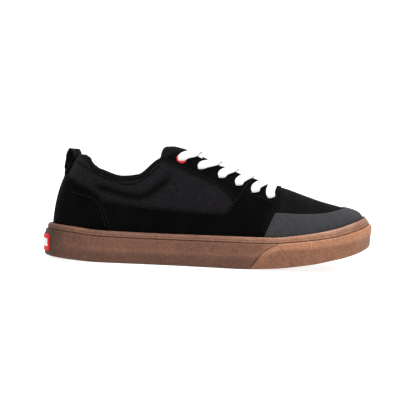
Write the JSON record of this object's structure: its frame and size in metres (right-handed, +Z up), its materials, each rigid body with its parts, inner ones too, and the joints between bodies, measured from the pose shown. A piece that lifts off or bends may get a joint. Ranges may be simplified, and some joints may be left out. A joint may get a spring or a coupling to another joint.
{
  "type": "mountain bike shoe",
  "caption": "Low-top flat-pedal mountain bike shoe for the right foot, with a suede and canvas upper, padded collar, heel pull loop, flat lace and cupped gum rubber sole.",
  "frame": {"origin": "centre of the bounding box's footprint, on the ground under the sole", "axes": "+X to the toe, -Y to the lateral side, +Z up; the shoe stands on its sole on z = 0"},
  "size_m": [0.2974, 0.1067, 0.1042],
  "materials": {
    "gum_rubber": "matte moulded gum rubber",
    "toe_gum_rubber": "matte moulded gum rubber, lighter",
    "red_rubber": "satin moulded rubber",
    "footbed": "cloth-topped foam",
    "canvas": "woven canvas over a textile lining",
    "tongue_cloth": "padded canvas",
    "black_suede": "brushed suede",
    "toe_guard_rubber": "matte rubber-coated toe guard",
    "red_enamel": "satin enamel",
    "white_lace": "woven flat lace",
    "black_webbing": "woven webbing"
  },
  "bodies": {
    "root": {"outsole": "gum_rubber", "foxing_strip": "gum_rubber", "toe_bumper": "toe_gum_rubber", "heel_tag": "red_rubber", "insole": "footbed", "upper": "canvas", "tongue": "tongue_cloth", "heel_counter": "black_suede", "toe_guard": "toe_guard_rubber", "side_panel_lateral": "black_suede", "side_panel_medial": "black_suede", "eyestay_lateral": "black_suede", "eyestay_medial": "black_suede", "eyelet_ring_lateral": "red_enamel", "eyelet_ring_medial": "red_enamel", "pull_loop": "black_webbing", "lace_bar": "white_lace", "lace_cross_1": "white_lace", "lace_cross_2": "white_lace", "lace_cross_3": "white_lace", "lace_cross_4": "white_lace", "lace_cross_5": "white_lace"}
  },
  "joints": []
}
